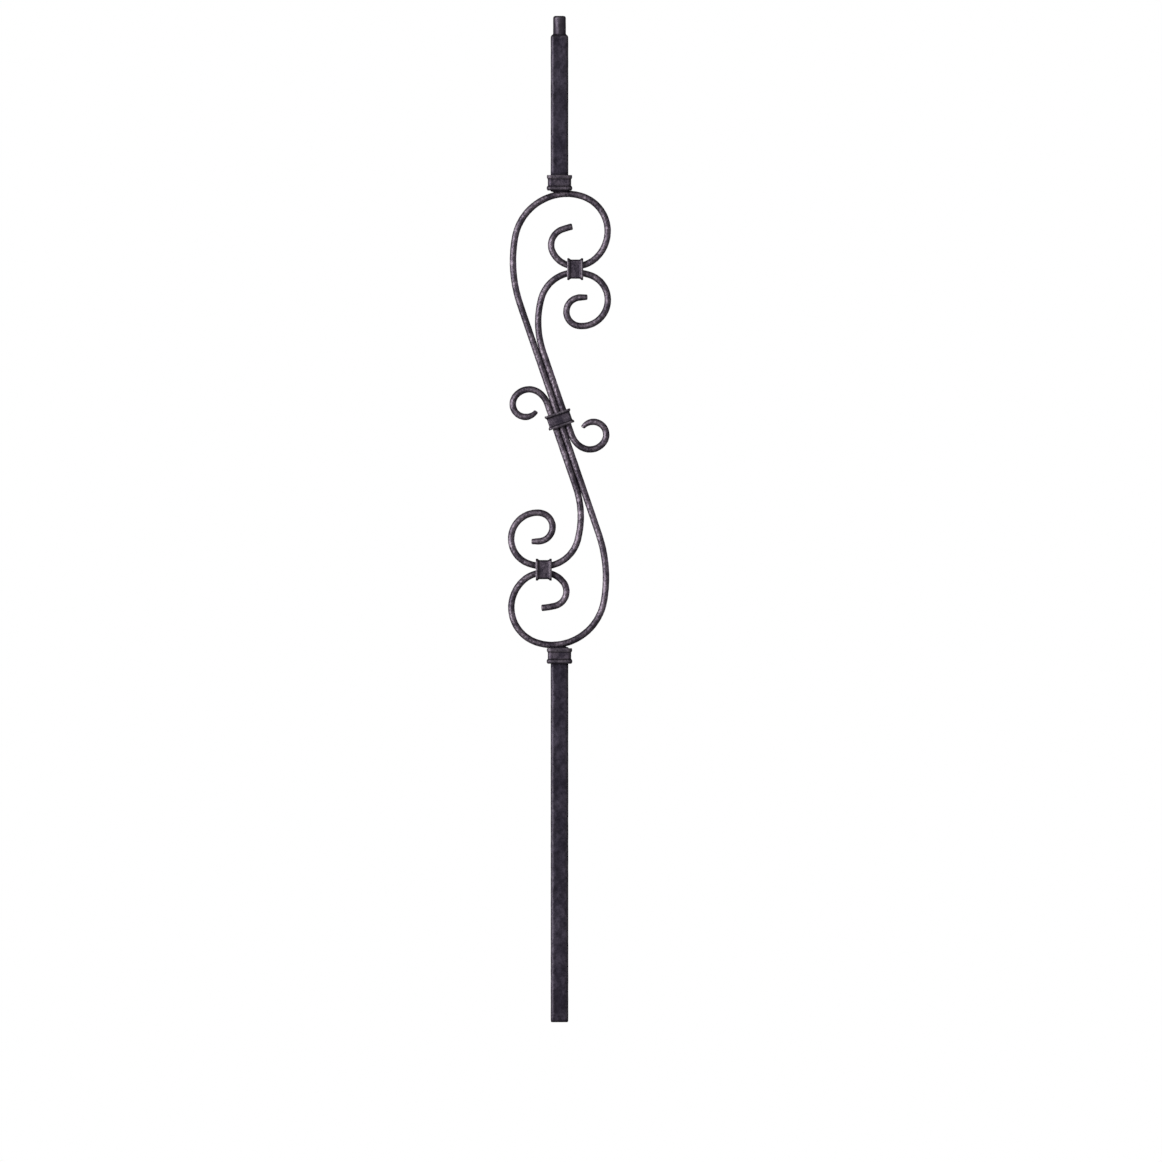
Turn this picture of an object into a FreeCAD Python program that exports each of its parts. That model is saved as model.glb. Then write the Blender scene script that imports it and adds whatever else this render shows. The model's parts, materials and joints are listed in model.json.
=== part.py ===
import FreeCAD, Part
import math
import os

# A forged iron stair baluster. Origin at the centre of its foot, +Z up the bar, front facing -Y.
# Lengths are in millimetres and angles in degrees.

# Square bars and the round pin at the top
overall_height = 1117.6
bar_side = 19.0
bar_corner_radius = 3.0
foot_chamfer = 0.6
pin_diameter = 13.8
pin_length = 21.0
pin_top_round = 2.0
pin_root_fillet = 1.0
shoulder_round = 2.5

# Round scroll bars
rod_diameter = 7.0
strand_gap = 0.1

# The scroll panel: its centre above the foot, and where the main scroll crosses over the bars
panel_centre_height = 669.5
crown_rise = 250.6
crown_offset = 8.6

# Main scroll from each crown down to the long leg
crown_radius = 58.9
crown_turn = 80.0
shoulder_radius = 150.0

# Main scroll from each crown round to its eye
brow_radius = 52.0
brow_turn = 22.0
cheek_radius = 40.7
cheek_turn = 115.0
return_radius = 33.9
upper_eye_radius = 27.9
upper_eye_turn = 62.0
upper_eye_inner_radius = 18.4
upper_eye_inner_turn = 98.0
lower_eye_radius = 27.5
lower_eye_turn = 51.6
lower_eye_inner_radius = 16.7
lower_eye_inner_turn = 115.0
eye_tail_radius = 90.0
upper_tail_turn = 7.6
lower_tail_turn = 9.6

# Inner scroll from its pair band down to the long leg
inner_crown_radius = 39.0
inner_crown_turn = 75.0

# Inner scroll from its pair band round to its eye
inner_brow_radius = 50.0
inner_brow_turn = 20.0
inner_cheek_radius = 29.1
inner_cheek_turn = 164.7
inner_eye_radius = 15.9
inner_eye_turn = 173.3
inner_tail_length = 8.0

# Small curl at the other end of each inner scroll
curl_lead = 20.4
curl_start_radius = 26.5
curl_start_turn = 34.0
curl_radius = 18.9
curl_turn = 93.5
curl_end_radius = 14.3
curl_end_turn = 130.0

# Forged tips
tip_round = 1.0
inner_tip_diameter = 5.8
curl_tip_diameter = 4.6
curl_tip_turn = 50.0

# Collars round the ends of the square bars
collar_height = 17.3
collar_wall = 3.5
collar_corner_radius = 4.0
collar_lip_edge = 4.0
collar_lip_rise = 1.1
collar_lip_cove_radius = 1.5
collar_bead_height = 5.4
collar_bead_rise = 1.3
collar_clearance = 0.1
rod_clearance = 0.1

# Coped end of each bar, and its weld to the main scroll
cope_depth = 1.0
weld_half_length = 14.0
weld_radius = 5.0
weld_rise = 2.8

# Bands round the rods
band_clearance = 0.1
band_corner_radius = 2.4
band_rim_edge = 2.6
band_rim_rise = 1.6
band_cove_radius = 2.4
pair_band_length = 17.8
pair_band_wall = 2.1
middle_band_length = 16.4
middle_band_wall = 2.7

# How far the edge of a lip or rim is rounded out
rim_bulge = 0.4

# How far a cutting tool or a hidden root runs past the face that it meets
overrun = 1.0


def point(x, z):
    return FreeCAD.Vector(x, 0, z)


def direction(heading):
    angle = math.radians(heading)
    return point(math.cos(angle), math.sin(angle))


def left_of(heading):
    return direction(heading + 90)


def bend(start, heading, radius, turn):
    """Arc that leaves start along heading; a positive turn is to the left."""
    signed_radius = math.copysign(radius, turn)
    centre = start + left_of(heading) * signed_radius
    middle = centre - left_of(heading + turn / 2) * signed_radius
    end = centre - left_of(heading + turn) * signed_radius
    return Part.Arc(start, middle, end).toShape(), end


def bend_run(start, heading, bends):
    """Tangent arcs one after another, with the point and heading at the end."""
    edges = []
    for radius, turn in bends:
        edge, start = bend(start, heading, radius, turn)
        edges.append(edge)
        heading = heading + turn
    return edges, start, heading


def round_profile(centre, heading, diameter):
    circle = Part.Circle(centre, direction(heading), diameter / 2)
    return Part.Wire(circle.toShape())


def swept_rod(edges, start, heading):
    """Round bar of constant thickness along tangent edges."""
    path = Part.Wire(Part.__sortEdges__(edges))
    profile = round_profile(start, heading, rod_diameter)
    return path.makePipeShell([profile], True, False)


def tapered_tip(edge, start, heading, end, end_heading, tip_diameter):
    """Last stretch of a rod, drawn down from the full thickness to its tip."""
    root = round_profile(start, heading, rod_diameter)
    tip = round_profile(end, end_heading, tip_diameter)
    return Part.Wire(edge).makePipeShell([root, tip], True, False)


def round_tip(solid, tip_centre):
    """Round off the cut end that lies at tip_centre."""
    flat_faces = [face for face in solid.Faces if isinstance(face.Surface, Part.Plane)]
    cut_end = min(flat_faces, key=lambda face: face.CenterOfMass.distanceToPoint(tip_centre))
    return solid.makeFillet(tip_round, cut_end.Edges)


def half_turn(shape):
    """The lower half of the panel is the upper half turned about the panel's centre."""
    turned = shape.copy()
    turned.rotate(FreeCAD.Vector(0, 0, 0), FreeCAD.Vector(0, 1, 0), 180)
    return turned


def find_leg_heading():
    """The straight leg is the tangent from the shoulder arc to the panel's centre."""
    crown = point(crown_offset, crown_rise)
    edge, shoulder_start = bend(crown, 180, crown_radius, crown_turn)
    to_centre = left_of(180 + crown_turn) * shoulder_radius
    shoulder_centre = shoulder_start + to_centre
    leg_length = math.sqrt(shoulder_centre.Length ** 2 - shoulder_radius ** 2)
    back = math.degrees(math.atan2(-shoulder_centre.z, -shoulder_centre.x))
    heading = back + math.degrees(math.atan2(shoulder_radius, leg_length))
    return heading % 360


def main_scroll_half(eye_bends):
    """Upper half of the main scroll, from its eye to the panel's centre."""
    crown = point(crown_offset, crown_rise)
    shoulder_turn = find_leg_heading() - 180 - crown_turn
    left_bends = [(crown_radius, crown_turn), (shoulder_radius, shoulder_turn)]
    edges, leg_top, heading = bend_run(crown, 180, left_bends)
    edges.append(Part.makeLine(leg_top, point(0, 0)))
    right_edges, band_pass, heading = bend_run(crown, 0, right_bends())
    eye_edges, tip, heading = bend_run(band_pass, heading, eye_bends)
    return edges + right_edges + eye_edges, tip, heading


def right_bends():
    """Clockwise from the crown to where the main scroll runs level under the band."""
    return_turn = 180 - brow_turn - cheek_turn
    return [
        (brow_radius, -brow_turn),
        (cheek_radius, -cheek_turn),
        (return_radius, -return_turn),
    ]


def band_pass_point():
    edges, band_pass, heading = bend_run(point(crown_offset, crown_rise), 0, right_bends())
    return band_pass


def main_scroll():
    """One bar bent to a long S, with an eye at each end."""
    upper_eye = [
        (upper_eye_radius, -upper_eye_turn),
        (upper_eye_inner_radius, -upper_eye_inner_turn),
        (eye_tail_radius, -upper_tail_turn),
    ]
    lower_eye = [
        (lower_eye_radius, -lower_eye_turn),
        (lower_eye_inner_radius, -lower_eye_inner_turn),
        (eye_tail_radius, -lower_tail_turn),
    ]
    upper_edges, upper_tip, upper_heading = main_scroll_half(upper_eye)
    lower_edges, lower_tip, lower_heading = main_scroll_half(lower_eye)
    edges = upper_edges + [half_turn(edge) for edge in lower_edges]
    solid = swept_rod(edges, upper_tip, upper_heading)
    solid = round_tip(solid, upper_tip)
    solid = round_tip(solid, lower_tip * -1)
    return solid


def inner_scroll():
    """Inner scroll of the upper half: an eye, a leg beside the main scroll, and a small curl at its end."""
    spacing = rod_diameter + strand_gap
    start = band_pass_point() - point(0, spacing)
    leg_heading = find_leg_heading()
    across = left_of(leg_heading)

    # The shoulder's radius brings the leg alongside the main scroll
    left_edges, shoulder_start, heading = bend_run(start, 180, [(inner_crown_radius, inner_crown_turn)])
    shoulder_turn = leg_heading - heading
    reach = shoulder_start.dot(across) - spacing
    inner_shoulder_radius = reach / (1 - math.cos(math.radians(shoulder_turn)))
    shoulder, leg_top = bend(shoulder_start, heading, inner_shoulder_radius, shoulder_turn)
    curl_start = across * spacing + direction(leg_heading) * curl_lead
    leg = Part.makeLine(leg_top, curl_start)
    curl_bends = [
        (curl_start_radius, curl_start_turn),
        (curl_radius, curl_turn),
        (curl_end_radius, curl_end_turn),
    ]
    curl_edges, curl_end, curl_heading = bend_run(curl_start, leg_heading, curl_bends)

    eye_bends = [
        (inner_brow_radius, -inner_brow_turn),
        (inner_cheek_radius, -inner_cheek_turn),
        (inner_eye_radius, -inner_eye_turn),
    ]
    eye_edges, eye_end, eye_heading = bend_run(start, 0, eye_bends)
    edges = left_edges + [shoulder, leg] + curl_edges + eye_edges
    rod = swept_rod(edges, eye_end, eye_heading)

    tail_end = eye_end + direction(eye_heading) * inner_tail_length
    tail = Part.makeLine(eye_end, tail_end)
    eye_tip = tapered_tip(tail, eye_end, eye_heading, tail_end, eye_heading, inner_tip_diameter)
    tip_edge, tip_end = bend(curl_end, curl_heading, curl_end_radius, curl_tip_turn)
    tip_heading = curl_heading + curl_tip_turn
    curl_tip = tapered_tip(tip_edge, curl_end, curl_heading, tip_end, tip_heading, curl_tip_diameter)
    solid = rod.fuse([eye_tip, curl_tip])
    solid = round_tip(solid, tail_end)
    solid = round_tip(solid, tip_end)
    return solid


def rounded_rectangle(width, depth, radius, height):
    """Closed outline round the Z axis, centred on the origin."""
    x = width / 2
    y = depth / 2
    corners = ((1, 1), (-1, 1), (-1, -1), (1, -1))
    edges = []
    previous = None
    first = None
    for index, (sign_x, sign_y) in enumerate(corners):
        centre = FreeCAD.Vector(sign_x * (x - radius), sign_y * (y - radius), height)
        start_angle = index * 90

        def on_corner(angle):
            turned = math.radians(start_angle + angle)
            return centre + FreeCAD.Vector(math.cos(turned), math.sin(turned), 0) * radius

        if previous is None:
            first = on_corner(0)
        else:
            edges.append(Part.makeLine(previous, on_corner(0)))
        edges.append(Part.Arc(on_corner(0), on_corner(45), on_corner(90)).toShape())
        previous = on_corner(90)
    edges.append(Part.makeLine(previous, first))
    return Part.Wire(edges)


def rounded_block(width, depth, radius, bottom, top):
    outline = rounded_rectangle(width, depth, radius, bottom)
    return Part.Face(outline).extrude(FreeCAD.Vector(0, 0, top - bottom))


def moulding(width, depth, radius, height, profile_edges):
    """Sweep a profile round a rounded rectangle; the profile is drawn in the plane Y = 0 at the +X side."""
    path = rounded_rectangle(width, depth, radius, height)
    profile = Part.Wire(profile_edges)
    return path.makePipeShell([profile], True, True)


def bead_profile(side, bottom):
    """Rounded bead that stands out of a face at X = side."""
    root = FreeCAD.Vector(side - overrun, 0, bottom)
    low = FreeCAD.Vector(side, 0, bottom)
    middle = FreeCAD.Vector(side + collar_bead_rise, 0, bottom + collar_bead_height / 2)
    high = FreeCAD.Vector(side, 0, bottom + collar_bead_height)
    back = FreeCAD.Vector(side - overrun, 0, bottom + collar_bead_height)
    return [
        Part.makeLine(root, low),
        Part.Arc(low, middle, high).toShape(),
        Part.makeLine(high, back),
        Part.makeLine(back, root),
    ]


def collar(bottom):
    """Square collar with a full bead at its foot and a thick lip at its top, threaded over the bar."""
    side = bar_side + 2 * collar_wall
    top = bottom + collar_height
    solid = rounded_block(side, side, collar_corner_radius, bottom, top)
    bead = bead_profile(side / 2, bottom)
    lip = rim_profile(side / 2, top, -1, collar_lip_edge, collar_lip_rise, collar_lip_cove_radius)
    for height, profile in ((bottom, bead), (top, lip)):
        solid = solid.fuse(moulding(side, side, collar_corner_radius, height, profile))
    hole_side = bar_side + 2 * collar_clearance
    hole_radius = bar_corner_radius + collar_clearance
    hole = rounded_block(hole_side, hole_side, hole_radius, bottom - overrun, top + overrun)
    return solid.cut(hole)


def rim_profile(side, end, inward, edge, rise, cove_radius):
    """Rim at one end of a collar or band: a slightly rounded edge, then a cove down to the face."""
    cove_rise = rise - rim_bulge
    run = math.sqrt(2 * cove_radius * cove_rise - cove_rise ** 2)
    crest = end + inward * edge
    toe = crest + inward * run
    root_end = FreeCAD.Vector(side - overrun, 0, end)
    outer_end = FreeCAD.Vector(side + cove_rise, 0, end)
    outer_middle = FreeCAD.Vector(side + rise, 0, end + inward * edge / 2)
    outer_crest = FreeCAD.Vector(side + cove_rise, 0, crest)
    face_toe = FreeCAD.Vector(side, 0, toe)
    root_toe = FreeCAD.Vector(side - overrun, 0, toe)
    sweep = math.acos(1 - cove_rise / cove_radius)
    middle_x = side + cove_radius * (1 - math.cos(sweep / 2))
    middle_z = toe - inward * cove_radius * math.sin(sweep / 2)
    cove_middle = FreeCAD.Vector(middle_x, 0, middle_z)
    return [
        Part.makeLine(root_end, outer_end),
        Part.Arc(outer_end, outer_middle, outer_crest).toShape(),
        Part.Arc(outer_crest, cove_middle, face_toe).toShape(),
        Part.makeLine(face_toe, root_toe),
        Part.makeLine(root_toe, root_end),
    ]


def band(hole_width, wall, length):
    """Band with thick rims, its hole along Z and its wide side along X, centred on the origin."""
    hole_depth = rod_diameter + 2 * band_clearance
    width = hole_width + 2 * wall
    depth = hole_depth + 2 * wall
    solid = rounded_block(width, depth, band_corner_radius, -length / 2, length / 2)
    for end, inward in ((-length / 2, 1), (length / 2, -1)):
        profile = rim_profile(width / 2, end, inward, band_rim_edge, band_rim_rise, band_cove_radius)
        solid = solid.fuse(moulding(width, depth, band_corner_radius, end, profile))
    hole = Part.makeBox(hole_width, hole_depth, length + 2 * overrun)
    hole.translate(FreeCAD.Vector(-hole_width / 2, -hole_depth / 2, -length / 2 - overrun))
    return solid.cut(hole)


def middle_band():
    """Band that holds three rods side by side on the leaning legs."""
    hole_width = 3 * rod_diameter + 2 * strand_gap + 2 * band_clearance
    solid = band(hole_width, middle_band_wall, middle_band_length)
    solid.rotate(FreeCAD.Vector(0, 0, 0), FreeCAD.Vector(0, 1, 0), 270 - find_leg_heading())
    return solid


def spread(bend_radius):
    """How far the hollow side of a bent rod strays from level between a pair band's middle and its ends."""
    hollow_radius = bend_radius - rod_diameter / 2
    return hollow_radius - math.sqrt(hollow_radius ** 2 - (pair_band_length / 2) ** 2)


def pair_band():
    """Band that holds the main scroll and the inner scroll where they touch."""
    main_spread = spread(min(return_radius, upper_eye_radius, lower_eye_radius))
    inner_spread = spread(min(inner_crown_radius, inner_brow_radius))
    hole_width = 2 * rod_diameter + strand_gap + main_spread + inner_spread + 2 * band_clearance
    solid = band(hole_width, pair_band_wall, pair_band_length)
    solid.rotate(FreeCAD.Vector(0, 0, 0), FreeCAD.Vector(0, 1, 0), 90)
    hole_top = band_pass_point().z + rod_diameter / 2 + main_spread + band_clearance
    solid.translate(point(band_pass_point().x, hole_top - hole_width / 2))
    return solid


def weld(face_height):
    """Low bead of weld along the scroll, on the end face of a bar and its collar at face_height."""
    sunk = weld_radius - weld_rise
    ends = (point(-weld_half_length, 0), point(weld_half_length, 0))
    outline = Part.Wire([
        Part.Arc(ends[0], point(0, weld_radius), ends[1]).toShape(),
        Part.makeLine(ends[1], ends[0]),
    ])
    spindle = Part.Face(outline).revolve(ends[0], FreeCAD.Vector(1, 0, 0), 360)
    spindle.translate(point(0, -sunk))
    keep = Part.makeBox(2 * weld_half_length, 2 * weld_radius, weld_rise)
    keep.translate(FreeCAD.Vector(-weld_half_length, -weld_radius, 0))
    bead = spindle.common(keep)
    bead.translate(point(0, face_height))
    return bead


def lower_bar(scroll):
    """Square bar from the foot to the lower crown, coped over the scroll and welded to it."""
    rod_edge = panel_centre_height - crown_rise - rod_diameter / 2
    solid = rounded_block(bar_side, bar_side, bar_corner_radius, 0, rod_edge + cope_depth)
    foot_edges = [edge for edge in solid.Edges if edge.BoundBox.ZMax < overrun]
    solid = solid.makeChamfer(foot_chamfer, foot_edges)
    solid = solid.fuse(weld(rod_edge - rod_clearance))
    return solid.cut(scroll)


def upper_bar(scroll):
    """Square bar from the upper crown to the round pin that enters the handrail."""
    rod_edge = panel_centre_height + crown_rise + rod_diameter / 2
    shoulder = overall_height - pin_length
    solid = rounded_block(bar_side, bar_side, bar_corner_radius, rod_edge - cope_depth, shoulder)
    top_edges = [edge for edge in solid.Edges if edge.BoundBox.ZMin > shoulder - overrun]
    solid = solid.makeFillet(shoulder_round, top_edges)
    bead = weld(0)
    bead.rotate(FreeCAD.Vector(0, 0, 0), FreeCAD.Vector(1, 0, 0), 180)
    bead.translate(point(0, rod_edge + rod_clearance))
    solid = solid.fuse([bead, top_pin(shoulder)])
    return solid.cut(scroll)


def top_pin(shoulder):
    """Turned pin with a rounded top and a small fillet at its root."""
    radius = pin_diameter / 2
    top = shoulder + pin_length
    halfway = 1 - math.cos(math.radians(45))
    root_share = pin_root_fillet * halfway
    top_share = pin_top_round * halfway
    profile = Part.Wire([
        Part.makeLine(point(0, shoulder), point(radius + pin_root_fillet, shoulder)),
        Part.Arc(
            point(radius + pin_root_fillet, shoulder),
            point(radius + root_share, shoulder + root_share),
            point(radius, shoulder + pin_root_fillet),
        ).toShape(),
        Part.makeLine(point(radius, shoulder + pin_root_fillet), point(radius, top - pin_top_round)),
        Part.Arc(
            point(radius, top - pin_top_round),
            point(radius - top_share, top - top_share),
            point(radius - pin_top_round, top),
        ).toShape(),
        Part.makeLine(point(radius - pin_top_round, top), point(0, top)),
        Part.makeLine(point(0, top), point(0, shoulder)),
    ])
    return Part.Face(profile).revolve(point(0, 0), FreeCAD.Vector(0, 0, 1), 360)


def at_panel(shape):
    """Move a piece of the scroll panel from the panel's centre to its height above the foot."""
    placed = shape.copy()
    placed.translate(point(0, panel_centre_height))
    return placed


def build():
    scroll = at_panel(main_scroll())
    inner = inner_scroll()
    pair = pair_band()
    lower_collar_top = panel_centre_height - crown_rise - rod_diameter / 2 - rod_clearance
    upper_collar_bottom = panel_centre_height + crown_rise + rod_diameter / 2 + rod_clearance
    return {
        "lower_bar": lower_bar(scroll),
        "upper_bar": upper_bar(scroll),
        "lower_collar": collar(lower_collar_top - collar_height),
        "upper_collar": collar(upper_collar_bottom),
        "main_scroll": scroll,
        "upper_inner_scroll": at_panel(inner),
        "lower_inner_scroll": at_panel(half_turn(inner)),
        "upper_band": at_panel(pair),
        "lower_band": at_panel(half_turn(pair)),
        "middle_band": at_panel(middle_band()),
    }


def main():
    os.makedirs("parts", exist_ok=True)
    for name, shape in build().items():
        solid = shape.removeSplitter()
        solid.exportStep("parts/" + name + ".step")
        print(name, "solids", len(solid.Solids), "valid", solid.isValid(), "volume", round(solid.Volume))


main()
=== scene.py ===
import json
import math

import bpy
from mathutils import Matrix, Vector


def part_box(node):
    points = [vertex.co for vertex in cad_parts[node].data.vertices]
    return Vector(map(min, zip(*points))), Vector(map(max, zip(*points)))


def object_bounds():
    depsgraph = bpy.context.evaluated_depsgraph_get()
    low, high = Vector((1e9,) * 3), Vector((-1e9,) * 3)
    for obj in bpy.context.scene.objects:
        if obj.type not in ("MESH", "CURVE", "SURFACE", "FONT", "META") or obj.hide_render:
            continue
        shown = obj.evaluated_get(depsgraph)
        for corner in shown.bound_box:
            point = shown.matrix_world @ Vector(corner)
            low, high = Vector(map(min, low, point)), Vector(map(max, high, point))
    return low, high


# Looks of a forged iron stair baluster. Lengths are in metres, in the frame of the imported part.

# The photograph's frame: its size in pixels, what a pixel measures at the part, and where the part stands
image_pixels = 1162
metres_per_pixel = 0.001111
axis_column = 559.5
foot_row = 1022.0
camera_distance = 4.0

# Colours in linear light: rubbed corners, which are also a painted highlight; soot, which also paints
# the shade in hollows and on level faces; the turned pin; and how dark the iron stays edge on
# Rubbed bare metal on corners, lighter than the iron, and partly a painted highlight on crests and edges
worn_and_highlit = (0.11, 0.098, 0.106, 1.0)
# Soot in hollows, and the painted shade in hollows and on faces that look up or down
shade_and_soot = (0.006, 0.005, 0.007, 1.0)
turned = (0.021, 0.0178, 0.0235, 1.0)
edge_tint = (0.22, 0.20, 0.24, 1.0)
metallic = 1.0

# Each finish: its dark and light tone, the sizes of blotches, grain and hammer marks, the heights of
# marks and grain in the bump, and its least and most roughness. Then the sharpness at which a corner
# starts to wear and is full (a flat face reads 0.5), and the share of wear, which is partly a painted
# highlight. Then the openness at which a hollow starts to hold soot and painted shade and is full (an
# open face reads 1), the share of soot and painted shade in hollows, and the share of painted shade
# on level faces
looks = {
    "scroll_iron": {
        "dark": (0.021, 0.0175, 0.0235, 1.0),
        "light": (0.077, 0.064, 0.078, 1.0),
        "blotch_size": 0.016,
        "grain_size": 0.0024,
        "mark_size": 0.0034,
        "mark_height": 0.0006,
        "grain_height": 0.0003,
        "roughness": (0.48, 0.64),
        "sharpness": (0.52, 0.545),
        "wear_and_highlight": 0.7,
        "openness": (0.88, 0.4),
        "shade_and_soot": 0.3,
        "painted_level_shade": 0.5,
    },
    "bar_iron": {
        "dark": (0.0098, 0.0084, 0.0126, 1.0),
        "light": (0.0204, 0.0175, 0.0247, 1.0),
        "blotch_size": 0.020,
        "grain_size": 0.0022,
        "mark_size": 0.0090,
        "mark_height": 0.0012,
        "grain_height": 0.0003,
        "roughness": (0.58, 0.68),
        "sharpness": (0.504, 0.518),
        "wear_and_highlight": 0.14,
        "openness": (0.92, 0.5),
        "shade_and_soot": 0.8,
        "painted_level_shade": 0.4,
    },
    "fitting_iron": {
        "dark": (0.015, 0.0125, 0.018, 1.0),
        "light": (0.045, 0.0375, 0.048, 1.0),
        "blotch_size": 0.008,
        "grain_size": 0.0018,
        "mark_size": 0.0040,
        "mark_height": 0.0003,
        "grain_height": 0.0002,
        "roughness": (0.57, 0.70),
        "sharpness": (0.503, 0.522),
        "wear_and_highlight": 0.4,
        "openness": (0.985, 0.82),
        "shade_and_soot": 1.0,
        "painted_level_shade": 0.9,
    },
}

# How a noise or a slope is read as a share: where it starts, and where it is full
blotch_span = (0.35, 0.7)
mottle_span = (0.25, 0.48)
grain_span = (0.3, 0.7)
rub_and_highlight_span = (0.3, 0.6)
# The patches of soot and painted shade in hollows are read over this span
shade_and_soot_span = (0.3, 0.6)
level_span = (0.15, 0.7)

# Detail and roughness of the blotches' and the grain's noise, and how round the hammer hollows are
blotch_detail = 4.0
blotch_roughness = 0.6
grain_detail = 3.0
grain_roughness = 0.7
mark_roundness = 0.35

# How far from a face a hollow's sides are looked for, with how many rays, and how deep wear and its
# painted highlight go into it
hollow_reach = 0.006
hollow_rays = 6
hollow_wear = 0.2

# Least strength of a blotch and of soot with painted shade, and what rubbing and soot with painted shade
# do to roughness
blotch_least = 0.45
shade_and_soot_least = 0.6
rub_polish = 0.12
shade_and_soot_dullness = 0.2

# Strengths of the hammer marks and of the grain in the bump
mark_strength = 0.8
grain_strength = 0.7

# Hand-worked pieces: voxel size of their fine mesh and depth of their hammer marks
forging = {
    "scroll_iron": {"voxel": 0.00058, "depth": 0.00022},
    "bar_iron": {"voxel": 0.0008, "depth": 0.00028},
}

# Smoothing of that mesh: how many rounds, and how strong each is
smooth_rounds = 4
smooth_factor = 0.5

# Share of a mark's depth by which the whole surface swells, so that rods side by side touch
mark_swell = 0.3

# Ripples along the two weld beads, which lie within this height of the bars' coped ends
ripple_pitch = 0.0024
ripple_height = 0.0004
ripple_strength = 1.0
ripple_bend = 1.5
ripple_bend_size = 0.025
ripple_bend_detail = 1.0
weld_height = 0.004

# Radians that the wave texture turns through in one unit of length at scale 1
wave_turn = 20

# The turned pin at the top, smoother than the bar
pin_length = 0.021
pin_roughness = 0.56

# Studio: the floor, and the white surround's strength as light and where it is seen
floor_size = 60.0
floor_colour = (0.52, 0.52, 0.514, 1.0)
floor_roughness = 0.9
world_fill = 0.95
world_seen = 1.0

# Far lights: the way to each, its strength, and how wide it looks in degrees, which softens shadows
far_lights = {
    "key": {"way": (-4.5, -3.9, 0.5), "strength": 11.6, "width": 15},
    "fill": {"way": (2.2, -1.9, 0.5), "strength": 0.5, "width": 25},
    "rim": {"way": (3.4, 3.6, 0.4), "strength": 10.0, "width": 15},
}

# The lamp overhead: its place, its width and depth, and its watts
top_place = (-0.3, -1.0, 2.7)
top_size = (1.0, 0.4)
top_watts = 6.0


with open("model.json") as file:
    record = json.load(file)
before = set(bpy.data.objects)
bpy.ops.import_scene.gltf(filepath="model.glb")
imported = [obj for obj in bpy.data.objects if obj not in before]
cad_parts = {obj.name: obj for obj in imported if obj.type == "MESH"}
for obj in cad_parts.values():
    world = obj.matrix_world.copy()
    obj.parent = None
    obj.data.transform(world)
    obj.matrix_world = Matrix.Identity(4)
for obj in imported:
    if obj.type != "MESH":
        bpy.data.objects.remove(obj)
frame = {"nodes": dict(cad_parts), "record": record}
cad_low, cad_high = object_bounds()
nodes = frame["nodes"]


def nodes_of(slot):
    """CAD nodes whose finish is that material slot."""
    return [nodes[row["node"]] for row in frame["record"]["subparts"] if row["material_slot"] == slot]


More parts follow.
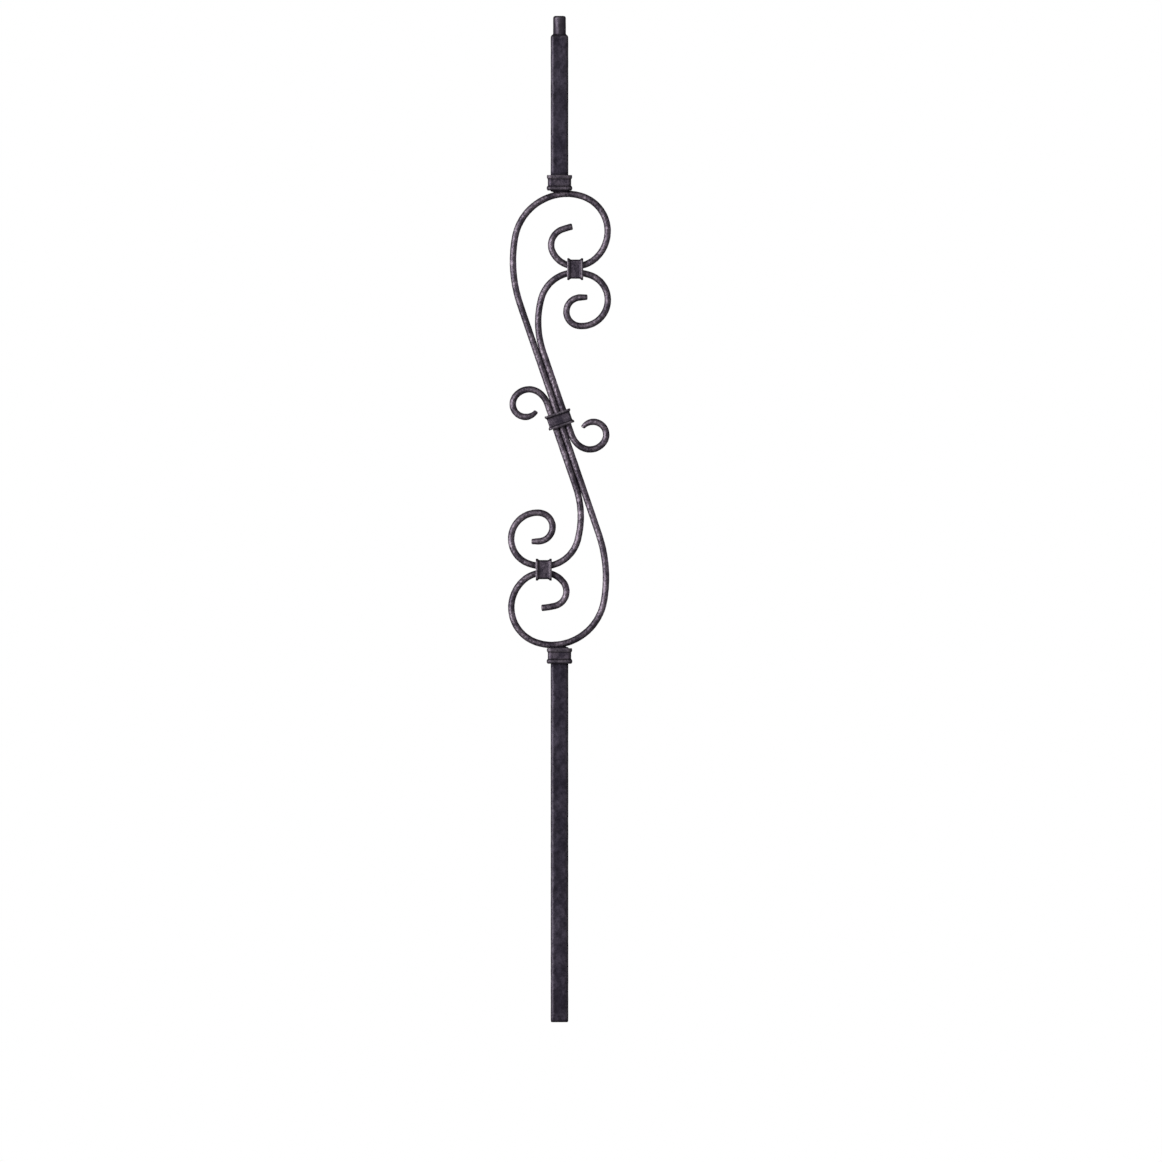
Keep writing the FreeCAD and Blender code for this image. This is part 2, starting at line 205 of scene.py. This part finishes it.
class Surface:
    """Short ways to add shader nodes to one material."""

    def __init__(self, name):
        self.material = bpy.data.materials.new(name)
        self.material.use_nodes = True
        self.tree = self.material.node_tree
        self.shader = self.tree.nodes["Principled BSDF"]
        self.place = self.tree.nodes.new("ShaderNodeTexCoord").outputs["Object"]

    def add(self, kind, values=None, links=None, **settings):
        """Add a node with fixed inputs, linked inputs and settings of its own, all by name."""
        node = self.tree.nodes.new(kind)
        for name, value in settings.items():
            setattr(node, name, value)
        for name, value in (values or {}).items():
            node.inputs[name].default_value = value
        for name, source in (links or {}).items():
            self.tree.links.new(source, node.inputs[name])
        return node

    def noise(self, size, detail, roughness):
        """Soft noise with spots about that many metres across."""
        values = {"Scale": 1 / size, "Detail": detail, "Roughness": roughness}
        node = self.add("ShaderNodeTexNoise", values, {"Vector": self.place})
        return node.outputs["Fac"]

    def ripples(self):
        """Crescents that follow one another along X, as a weld bead sets."""
        values = {
            "Scale": 2 * math.pi / (wave_turn * ripple_pitch),
            "Distortion": ripple_bend,
            "Detail": ripple_bend_detail,
            "Detail Scale": 1 / ripple_bend_size,
        }
        links = {"Vector": self.place}
        wave = self.add("ShaderNodeTexWave", values, links, wave_type="BANDS", bands_direction="X")
        return wave.outputs["Fac"]

    def near_height(self, height, reach):
        """1 where a point is within reach of that height, and 0 beyond."""
        along_z = self.add("ShaderNodeSeparateXYZ", links={"Vector": self.place}).outputs["Z"]
        offset = self.combine("SUBTRACT", along_z, height)
        return self.combine("LESS_THAN", self.combine("ABSOLUTE", offset, 0.0), reach)

    def cells(self, size):
        """Rounded hollows about that many metres apart, as a hammer leaves."""
        values = {"Scale": 1 / size, "Smoothness": mark_roundness}
        node = self.add("ShaderNodeTexVoronoi", values, {"Vector": self.place}, feature="SMOOTH_F1")
        return node.outputs["Distance"]

    def remap(self, source, span, to_low, to_high):
        """Read a value over a span of it as one that goes from to_low to to_high."""
        values = {"From Min": span[0], "From Max": span[1], "To Min": to_low, "To Max": to_high}
        return self.add("ShaderNodeMapRange", values, {"Value": source}).outputs["Result"]

    def combine(self, operation, first, second):
        """One step of arithmetic on two values, of which the second may be a fixed number."""
        node = self.add("ShaderNodeMath", links={0: first}, operation=operation)
        if isinstance(second, float):
            node.inputs[1].default_value = second
        else:
            self.tree.links.new(second, node.inputs[1])
        return node.outputs["Value"]

    def between(self, share, first, second):
        """Value that goes from first to the fixed second with share."""
        node = self.add("ShaderNodeMix", {"B": second}, {"Factor": share, "A": first}, data_type="FLOAT")
        return node.outputs["Result"]

    def blend(self, share, first, second):
        """Colour that goes from first to second with share."""
        node = self.add("ShaderNodeMix", data_type="RGBA")
        self.tree.links.new(share, node.inputs["Factor"])
        for name, colour in (("A", first), ("B", second)):
            socket = next(s for s in node.inputs if s.name == name and s.type == "RGBA")
            if isinstance(colour, tuple):
                socket.default_value = colour
            else:
                self.tree.links.new(colour, socket)
        return next(s for s in node.outputs if s.type == "RGBA")

    def edges(self, sharpness_span):
        """Near 1 on corners that stand out, near 0 on open faces."""
        sharpness = self.add("ShaderNodeNewGeometry").outputs["Pointiness"]
        return self.remap(sharpness, sharpness_span, 0.0, 1.0)

    def hollows(self, openness_span):
        """Near 1 in corners and under rims, where scale and soot stay and shade is painted."""
        values = {"Distance": hollow_reach}
        openness = self.add("ShaderNodeAmbientOcclusion", values, samples=hollow_rays).outputs["AO"]
        return self.remap(openness, openness_span, 0.0, 1.0)

    def level_faces(self):
        """Near 1 on surfaces that face up or down, near 0 on upright ones."""
        normal = self.add("ShaderNodeNewGeometry").outputs["Normal"]
        upward = self.add("ShaderNodeSeparateXYZ", links={"Vector": normal}).outputs["Z"]
        return self.remap(self.combine("ABSOLUTE", upward, 0.0), level_span, 0.0, 1.0)

    def bump(self, height, distance, strength, below=None):
        """Relief of that share of a distance in metres, on top of the relief below."""
        values = {"Strength": strength, "Distance": distance}
        links = {"Height": height}
        if below is not None:
            links["Normal"] = below
        return self.add("ShaderNodeBump", values, links).outputs["Normal"]

    def finish(self, colour, roughness, normal):
        """Make the shader metal of that colour, roughness and relief, and give the material."""
        self.shader.inputs["Metallic"].default_value = metallic
        self.shader.inputs["Specular Tint"].default_value = edge_tint
        self.tree.links.new(colour, self.shader.inputs["Base Color"])
        self.tree.links.new(roughness, self.shader.inputs["Roughness"])
        self.tree.links.new(normal, self.shader.inputs["Normal"])
        return self.material


def mottled(surface, look, clouds, grain):
    """Tone that goes from dark to light in grainy blotches."""
    blotches = surface.remap(clouds, blotch_span, blotch_least, 1.0)
    mottle = surface.combine("MULTIPLY", blotches, grain)
    return surface.blend(surface.remap(mottle, mottle_span, 0.0, 1.0), look["dark"], look["light"])


def rubbed_and_highlit_share(surface, look, grain, hollows):
    """How far a point is rubbed bare and given a painted highlight: on corners that stand out, and not in
    hollows.
    """
    clean = surface.remap(hollows, (0.0, hollow_wear), 1.0, 0.0)
    open_edges = surface.combine("MULTIPLY", surface.edges(look["sharpness"]), clean)
    # Corners that stand out are lightened as wear and as a painted highlight
    return surface.combine("MULTIPLY", open_edges, surface.remap(grain, rub_and_highlight_span, 0.0, look["wear_and_highlight"]))


def shade_and_soot_share(surface, look, clouds, hollows):
    """How far a point is darkened: soot and painted shade in hollows, and painted shade on faces that
    look up or down.
    """
    patches = surface.remap(clouds, shade_and_soot_span, shade_and_soot_least, 1.0)
    # Hollows get soot together with painted shade
    in_hollows = surface.combine("MULTIPLY", surface.combine("MULTIPLY", hollows, patches), look["shade_and_soot"])
    # Faces that look up or down are painted darker, as shade
    on_level = surface.combine("MULTIPLY", surface.level_faces(), look["painted_level_shade"])
    return surface.combine("MAXIMUM", in_hollows, on_level)


def relief(surface, look, grain, weld_places):
    """Hammer marks and grain, and ripples on the weld beads at those heights."""
    normal = surface.bump(surface.cells(look["mark_size"]), look["mark_height"], mark_strength)
    normal = surface.bump(grain, look["grain_height"], grain_strength, normal)
    for place in weld_places:
        rippled = surface.combine("MULTIPLY", surface.ripples(), surface.near_height(place, weld_height))
        normal = surface.bump(rippled, ripple_height, ripple_strength, normal)
    return normal


def iron(slot, look, weld_places, pin_top):
    """Blackened forged iron: mottled tone, hammer marks, fine grain, worn edges that are partly a painted
    highlight, and soot with painted shade in corners and on level faces.
    """
    surface = Surface(slot + "_look")
    clouds = surface.noise(look["blotch_size"], blotch_detail, blotch_roughness)
    grain = surface.noise(look["grain_size"], grain_detail, grain_roughness)
    hollows = surface.hollows(look["openness"])
    rubbed_and_highlit = rubbed_and_highlit_share(surface, look, grain, hollows)
    painted_shade_and_soot = shade_and_soot_share(surface, look, clouds, hollows)

    colour = mottled(surface, look, clouds, grain)
    smoothest, roughest = look["roughness"]
    rough = surface.remap(grain, grain_span, smoothest, roughest)
    if pin_top is not None:
        on_pin = surface.near_height(pin_top, pin_length)
        colour = surface.blend(on_pin, colour, turned)
        rough = surface.between(on_pin, rough, pin_roughness)
    # Rubbed corners are lightened, partly as a painted highlight, and hollows and level faces are
    # darkened with soot and painted shade
    colour = surface.blend(rubbed_and_highlit, colour, worn_and_highlit)
    colour = surface.blend(painted_shade_and_soot, colour, shade_and_soot)
    rough = surface.combine("SUBTRACT", rough, surface.combine("MULTIPLY", rubbed_and_highlit, rub_polish))
    rough = surface.combine("ADD", rough, surface.combine("MULTIPLY", painted_shade_and_soot, shade_and_soot_dullness))
    return surface.finish(colour, rough, relief(surface, look, grain, weld_places))


def hammer(node, mark_size, voxel, depth):
    """Give a CAD node a fine even mesh with shallow dents in it, as hand forging leaves."""
    remesh = node.modifiers.new("fine_mesh", "REMESH")
    remesh.mode = "VOXEL"
    remesh.voxel_size = voxel
    remesh.use_smooth_shade = True
    smooth = node.modifiers.new("even", "SMOOTH")
    smooth.factor = smooth_factor
    smooth.iterations = smooth_rounds
    texture = bpy.data.textures.new(node.name + "_marks", "VORONOI")
    texture.noise_scale = mark_size
    dents = node.modifiers.new("dents", "DISPLACE")
    dents.texture = texture
    dents.texture_coords = "LOCAL"
    dents.mid_level = -mark_swell
    dents.strength = depth


def dress_part():
    """Give each CAD node its finish, and the forged ones their hammer marks."""
    bar_ends = [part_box("lower_bar")[1].z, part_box("upper_bar")[0].z]
    pin_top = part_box("upper_bar")[1].z
    for slot, look in looks.items():
        if slot == "bar_iron":
            material = iron(slot, look, bar_ends, pin_top)
        else:
            material = iron(slot, look, [], None)
        for node in nodes_of(slot):
            node.data.materials.clear()
            node.data.materials.append(material)
    for slot, work in forging.items():
        for node in nodes_of(slot):
            hammer(node, looks[slot]["mark_size"], work["voxel"], work["depth"])


def plain_material(name, colour, roughness):
    """A material of one colour and one roughness."""
    material = bpy.data.materials.new(name)
    material.use_nodes = True
    shader = material.node_tree.nodes["Principled BSDF"]
    shader.inputs["Base Color"].default_value = colour
    shader.inputs["Roughness"].default_value = roughness
    return material


def make_floor():
    """A plain pale floor at the foot of the part."""
    bpy.ops.mesh.primitive_plane_add(size=floor_size, location=(0, 0, cad_low.z))
    floor = bpy.context.object
    floor.name = "floor"
    floor.data.materials.append(plain_material("floor_paint", floor_colour, floor_roughness))


def add_lamp(name, lamp, place, towards):
    """Put a lamp in the scene at that place, facing that way."""
    holder = bpy.data.objects.new(name, lamp)
    holder.location = place
    holder.rotation_euler = towards.to_track_quat("-Z", "Y").to_euler()
    bpy.context.scene.collection.objects.link(holder)


def far_light(name, way, strength, width):
    """Light from far off, the same all over the scene, that comes from that way."""
    lamp = bpy.data.lights.new(name, "SUN")
    lamp.energy = strength
    lamp.angle = math.radians(width)
    add_lamp(name, lamp, way, -Vector(way))


def make_lamps():
    """The far lights, and one soft lamp overhead that faces the middle of the part."""
    for name, light in far_lights.items():
        far_light(name, **light)
    lamp = bpy.data.lights.new("top", "AREA")
    lamp.shape = "RECTANGLE"
    lamp.size, lamp.size_y = top_size
    lamp.energy = top_watts
    middle = (cad_low + cad_high) / 2
    add_lamp("top", lamp, top_place, middle - Vector(top_place))


def greater(tree, first, second):
    """The greater of two values in a node tree."""
    node = tree.nodes.new("ShaderNodeMath")
    node.operation = "MAXIMUM"
    tree.links.new(first, node.inputs[0])
    tree.links.new(second, node.inputs[1])
    return node.outputs["Value"]


def make_world():
    """A soft white surround for light, seen as plain white by the camera and in reflections."""
    world = bpy.data.worlds.new("studio")
    bpy.context.scene.world = world
    world.use_nodes = True
    tree = world.node_tree
    ray = tree.nodes.new("ShaderNodeLightPath").outputs
    beyond = greater(tree, ray["Is Glossy Ray"], ray["Is Transmission Ray"])
    seen = greater(tree, ray["Is Camera Ray"], beyond)
    level = tree.nodes.new("ShaderNodeMapRange")
    level.inputs["To Min"].default_value = world_fill
    level.inputs["To Max"].default_value = world_seen
    tree.links.new(seen, level.inputs["Value"])
    background = tree.nodes["Background"]
    background.inputs["Color"].default_value = (1.0, 1.0, 1.0, 1.0)
    tree.links.new(level.outputs["Result"], background.inputs["Strength"])


def make_camera():
    """Straight-on view with no perspective, framed as the photograph is."""
    across = (image_pixels / 2 - axis_column) * metres_per_pixel
    up = (foot_row - image_pixels / 2) * metres_per_pixel
    lens = bpy.data.cameras.new("camera")
    lens.type = "ORTHO"
    lens.ortho_scale = image_pixels * metres_per_pixel
    camera = bpy.data.objects.new("camera", lens)
    camera.location = (across, -camera_distance, up)
    camera.rotation_euler = (math.radians(90), 0, 0)
    bpy.context.scene.collection.objects.link(camera)
    bpy.context.scene.camera = camera


bpy.context.scene.view_settings.view_transform = "Standard"
dress_part()
make_floor()
make_world()
make_lamps()
make_camera()
